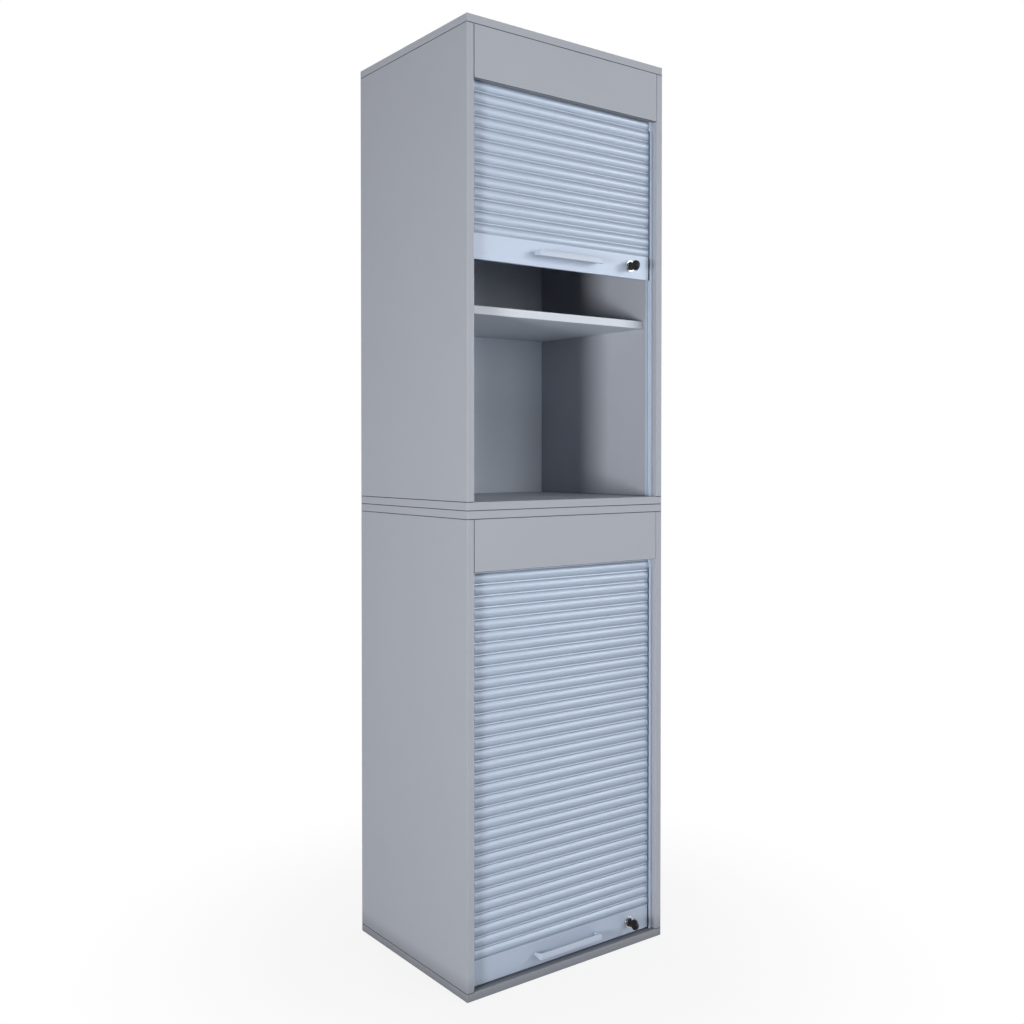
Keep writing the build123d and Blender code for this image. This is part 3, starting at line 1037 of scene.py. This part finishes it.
@dataclass
class Shutter:
    """One module's roller shutter: slats, handle and lock face, on the bar that comes from the frame."""

    module: Module
    palette: Palette
    base: float
    lift: float
    slat: Slat
    master: Piece
    closed_pivot: float = 65.0 * MM
    travel: float = 747.95 * MM
    count: int = 35
    head_high: float = 877.0 * MM
    stack_step: float = 0.25 * MM
    spiral_height: float = 841.4 * MM
    spiral_radius: float = 54.86 * MM
    turn_step: float = 5.5 * MM
    half_turns: int = 6
    link_tries: int = 30

    def name(self, piece: str) -> str:
        """A piece's name with its module's."""
        return f"{self.module.value}_{piece}"

    @property
    def pivot_y(self) -> float:
        """The slats' pivot line, in the middle of their thickness in front of the bar's rear."""
        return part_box(self.name("end_bar"))[1][1] - self.slat.thickness / 2

    def fit(self, piece: Piece, finish: Finish, node: str) -> None:
        """Dress a piece and hide the node of the frame that it takes the place of.

        Args:
            piece: The object.
            finish: Its finish.
            node: The node's name without its module's.
        """
        dress(piece, finish, self.palette)
        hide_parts(self.name(node))

    def rest_places(self) -> list[tuple[float, float]]:
        """Work out where each slat hangs at rest, and how far it follows the bar.

        A slat hangs on the shutter's own steps above the bar, both when the shutter is shut and at rest,
        and ends behind the fascia when the shutter is open.

        Returns:
            For each slat its lower pivot above the module's base, and its share of the slide.
        """
        places = []
        for index in range(self.count):
            shut = self.closed_pivot + index * self.slat.pitch
            if self.lift == 0:
                share = min(1.0, (self.head_high - shut) / self.travel)
                places.append((shut, max(0.0, share)))
                continue
            share = 1.0
            steps = index
            while shut + share * self.travel > self.head_high and steps > 0:
                steps -= 1
                share = (self.closed_pivot + self.lift + steps * self.slat.pitch - shut) / self.lift
            share = max(share, 0.0)
            places.append((shut + share * self.lift, share))
        return places

    def hang_slats(self) -> None:
        """Copy the slat to each of its places, and stand those that share one behind each other."""
        taken: Counter[int] = Counter()
        for index, (rest, share) in enumerate(self.rest_places()):
            step = round((rest - self.closed_pivot - self.lift) / self.slat.pitch)
            behind = taken[step] * self.stack_step
            taken[step] += 1
            place = Matrix.Translation((0.0, self.pivot_y + behind, self.base + rest))
            piece = copy_of(self.master, self.name(f"slat_{index + 1:02d}"), place)
            self.fit(piece, SLAT, "slats")
            follow_share(piece, self.name("shutter"), share)

    def spiral_point(self, length: float) -> tuple[float, float]:
        """A point of the pivot line in the head.

        Args:
            length: How far past the spiral's start it lies.

        Returns:
            The point in y, and in z above the module's base.
        """
        if length <= 0:
            return self.pivot_y, self.spiral_height + length
        for turn in range(self.half_turns):
            radius = self.spiral_radius - turn * self.turn_step
            if length <= math.pi * radius or turn == self.half_turns - 1:
                break
            length -= math.pi * radius
        side = 1 if turn % 2 else -1
        centre = self.pivot_y + self.spiral_radius + (self.turn_step if turn % 2 else 0.0)
        angle = length / radius
        return centre + side * radius * math.cos(angle), self.spiral_height - side * radius * math.sin(angle)

    def roll_slats(self) -> None:
        """Lay the slats that are rolled up at rest along the spiral in the head."""
        first = self.closed_pivot + self.lift
        seen = math.ceil((self.spiral_height - first) / self.slat.pitch)
        length = first + seen * self.slat.pitch - self.spiral_height
        for index in range(self.count - seen):
            y, z = self.spiral_point(length)
            onward = length + self.slat.pitch
            for _ in range(self.link_tries):
                next_y, next_z = self.spiral_point(onward)
                onward += self.slat.pitch - math.hypot(next_y - y, next_z - z)
            tilt = math.atan2(y - next_y, next_z - z)
            place = Matrix.Translation((0.0, y, self.base + z)) @ Matrix.Rotation(tilt, 4, "X")
            piece = copy_of(self.master, self.name(f"rolled_slat_{index + 1:02d}"), place)
            self.fit(piece, SLAT, "slats")
            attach(piece, "cabinet")
            length = onward

    def fit_handle(self) -> None:
        """Put the handle on the bar."""
        low, high = (Vector(corner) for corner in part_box(self.name("handle")))
        piece = Handle(low, high).build(self.name("bow_handle"))
        self.fit(piece, HANDLE, "handle")
        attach(piece, self.name("shutter"))

    def fit_lock(self) -> None:
        """Put the lock's ring in the bar and the key in the lock."""
        low, high = (Vector(corner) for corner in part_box(self.name("lock_housing")))
        lock = Lock((low + high) / 2, low.y, Vector(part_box(self.name("key"))[0]))
        ring = lock.ring(self.name("lock_ring"))
        self.fit(ring, CHROME, "lock_housing")
        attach(ring, self.name("shutter"))
        key = lock.key(self.name("lock_key"))
        self.fit(key, BLACK, "key")
        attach(key, self.name("lock_core"))

    def build(self) -> None:
        """Build the shutter's own pieces."""
        self.hang_slats()
        if self.lift > 0:
            self.roll_slats()
        self.fit_handle()
        self.fit_lock()


@dataclass
class Rail:
    """Right shutter rail: a channel with a thin front lip, set off from the board by a fine groove."""

    low: Vector
    high: Vector
    setback: float = 1.1 * MM
    lip: float = 1.5 * MM
    web: float = 3.5 * MM
    rear_lip: float = 4.0 * MM
    groove_width: float = 0.5 * MM
    groove_depth: float = 2.0 * MM
    overcut: float = 1.0 * MM
    edge: float = 0.4 * MM

    def model(self) -> Piece:
        """Model the rail in its place.

        Returns:
            The finished rail.
        """
        low, high, past = self.low + Vector((self.setback, 0.0, 0.0)), self.high, self.overcut
        rail = add_block((low + high) / 2, high - low)
        channel = (
            Vector((low.x - past, low.y + self.lip, low.z - past)),
            Vector((high.x - self.web, high.y - self.rear_lip, high.z + past)),
        )
        groove = (
            Vector((high.x - self.groove_width, low.y - past, low.z - past)),
            Vector((high.x + past, low.y + self.groove_depth, high.z + past)),
        )
        for slot_low, slot_high in (channel, groove):
            cut_away(rail, add_block((slot_low + slot_high) / 2, slot_high - slot_low))
        ease_edges(rail, self.edge, segments=2)
        return settle(rail)


@dataclass
class Carcass:
    """The boards and small fittings that come from the frame as they are, and the shutters' rails."""

    palette: Palette

    def dress_nodes(self) -> None:
        """Give every node of the frame its finish."""
        for name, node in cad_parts.items():
            dress(node, NODE_FINISHES[name.split("_", 1)[1]], self.palette)

    def fit_rails(self) -> None:
        """Model the right rail and copy it to both sides of both modules."""
        low, high = (Vector(corner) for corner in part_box("lower_right_rail"))
        master = Rail(low, high).model()
        for module in Module:
            rise = Vector(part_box(f"{module.value}_right_rail")[0]) - low
            for side, mirror in (("right", 1.0), ("left", -1.0)):
                place = Matrix.Translation(rise) @ Matrix.Scale(mirror, 4, X_AXIS)
                piece = settle(copy_of(master, f"{module.value}_{side}_channel", place))
                dress(piece, RAIL, self.palette)
                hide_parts(f"{module.value}_{side}_rail")
                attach(piece, "cabinet")
        bpy.data.objects.remove(master, do_unlink=True)


@dataclass(frozen=True)
class Lamp:
    """One large soft lamp."""

    name: str
    place: Triple
    size: float
    power: float

    def hang(self, aim: Vector) -> None:
        """Hang the lamp in its place.

        Args:
            aim: What it points at.
        """
        data = bpy.data.lights.new(self.name, "AREA")
        data.shape = "SQUARE"
        data.size = self.size
        data.energy = self.power
        lamp = bpy.data.objects.new(self.name, data)
        bpy.context.collection.objects.link(lamp)
        lamp.location = self.place
        lamp.rotation_euler = (aim - Vector(self.place)).to_track_quat("-Z", "Y").to_euler()


LAMPS = (
    Lamp("right_lamp", (3.9, -3.2, 2.35), 1.2, 70.0),
    Lamp("right_front_lamp", (2.4, -4.0, 1.1), 1.2, 40.0),
    Lamp("left_lamp", (-3.3, -1.5, 0.8), 0.6, 97.0),
    Lamp("top_lamp", (0.6, -4.2, 4.2), 2.0, 32.0),
    Lamp("front_lamp", (0.3, -4.0, 1.5), 1.6, 17.0),
    Lamp("rear_lamp", (0.8, 4.2, 1.8), 2.0, 90.0),
    Lamp("side_lamp", (4.2, 0.8, 1.1), 2.0, 62.0),
)


@dataclass
class Studio:
    """Floor, light and camera."""

    focal_pixels: float = 1119.7
    principal: tuple[float, float] = (512.26, 470.0)
    frame_pixels: int = 1024
    yaw: float = 0.6422
    pitch: float = -0.0147
    stand: Triple = (-1.4252, -1.9128, 1.0257)
    sensor: float = 36.0
    view_reach: float = 100.0
    aim: Triple = (0.0, 0.0, 0.95)
    soft_light: float = 0.02
    floor_size: float = 24.0
    floor_colour: Colour = (0.5, 0.5, 0.5, 1.0)
    floor_roughness: float = 0.9
    floor_specular: float = 0.1
    fade_from: float = 0.25
    fade_to: float = 1.0
    near_white: float = 0.88

    def camera(self) -> None:
        """Set the camera where the photograph was taken from."""
        data = bpy.data.cameras.new("photo_camera")
        data.sensor_fit = "HORIZONTAL"
        data.sensor_width = self.sensor
        data.lens = self.focal_pixels * self.sensor / self.frame_pixels
        middle = (self.frame_pixels - 1) / 2
        data.shift_x = (middle - self.principal[0]) / self.frame_pixels
        data.shift_y = (self.principal[1] - middle) / self.frame_pixels
        data.clip_end = self.view_reach
        camera = bpy.data.objects.new("photo_camera", data)
        bpy.context.collection.objects.link(camera)
        camera.location = self.stand
        camera.rotation_euler = (math.pi / 2 + self.pitch, 0.0, -self.yaw)
        bpy.context.scene.camera = camera

    def shown(self, tree: Tree) -> Socket:
        """Pick the rays that show the surroundings: straight, mirrored or through something clear.

        Args:
            tree: The nodes of a material or world.

        Returns:
            A mask that is 1 for such a ray.
        """
        path = tree.nodes.new("ShaderNodeLightPath").outputs
        mask = path["Is Camera Ray"]
        for name in ("Is Glossy Ray", "Is Transmission Ray"):
            mask = sum_of(tree, "MAXIMUM", mask, path[name])
        return mask

    def floor(self) -> None:
        """Lay a plain pale floor that fades into the white surroundings."""
        deselect_all()
        bpy.ops.mesh.primitive_plane_add(size=self.floor_size, location=(0.0, 0.0, 0.0))
        floor = bpy.context.object
        floor.name = "floor"
        material = bpy.data.materials.new("pale_floor")
        material.use_nodes = True
        tree = material.node_tree
        nodes, links = tree.nodes, tree.links
        shader = nodes["Principled BSDF"]
        shader.inputs["Base Color"].default_value = self.floor_colour
        shader.inputs["Roughness"].default_value = self.floor_roughness
        shader.inputs["Specular IOR Level"].default_value = self.floor_specular
        glow = nodes.new("ShaderNodeEmission")
        glow.inputs["Color"].default_value = WHITE
        reach = nodes.new("ShaderNodeVectorMath")
        reach.operation = "LENGTH"
        fade = nodes.new("ShaderNodeMapRange")
        fade.interpolation_type = "SMOOTHSTEP"
        fade.inputs["From Min"].default_value = self.fade_from
        fade.inputs["From Max"].default_value = self.fade_to
        fade.inputs["To Min"].default_value = self.near_white
        mix = nodes.new("ShaderNodeMixShader")
        links.new(nodes.new("ShaderNodeTexCoord").outputs["Object"], reach.inputs[0])
        links.new(reach.outputs["Value"], fade.inputs["Value"])
        links.new(sum_of(tree, "MULTIPLY", fade.outputs["Result"], self.shown(tree)), mix.inputs["Fac"])
        links.new(shader.outputs["BSDF"], mix.inputs[1])
        links.new(glow.outputs["Emission"], mix.inputs[2])
        links.new(mix.outputs["Shader"], nodes["Material Output"].inputs["Surface"])
        floor.data.materials.append(material)

    def world(self) -> None:
        """White surroundings that light the object only softly."""
        world = bpy.data.worlds.new("white_room")
        bpy.context.scene.world = world
        world.use_nodes = True
        nodes, links = world.node_tree.nodes, world.node_tree.links
        soft = nodes["Background"]
        soft.inputs["Color"].default_value = WHITE
        soft.inputs["Strength"].default_value = self.soft_light
        white = nodes.new("ShaderNodeBackground")
        white.inputs["Color"].default_value = WHITE
        mix = nodes.new("ShaderNodeMixShader")
        links.new(self.shown(world.node_tree), mix.inputs["Fac"])
        links.new(soft.outputs["Background"], mix.inputs[1])
        links.new(white.outputs["Background"], mix.inputs[2])
        links.new(mix.outputs["Shader"], nodes["World Output"].inputs["Surface"])

    def build(self) -> None:
        """Set up the whole studio."""
        bpy.context.scene.view_settings.view_transform = "Standard"
        self.floor()
        self.world()
        for lamp in LAMPS:
            lamp.hang(Vector(self.aim))
        self.camera()


def main() -> None:
    """Build and dress every sub-assembly, then set the studio round it."""
    logging.basicConfig(level=logging.INFO, format="%(name)s %(message)s")
    palette = Palette(surface_grain_group(), painted_shade_group(), painted_floor_shade_group())
    carcass = Carcass(palette)
    carcass.dress_nodes()
    carcass.fit_rails()
    slat = Slat()
    master = slat.model()
    for module, base, lift in ((Module.LOWER, 0.0, 0.0), (Module.UPPER, MODULE_HEIGHT, UPPER_LIFT)):
        Shutter(module, palette, base, lift, slat, master).build()
    bpy.data.objects.remove(master, do_unlink=True)
    Studio().build()


if __name__ == "__main__":
    main()
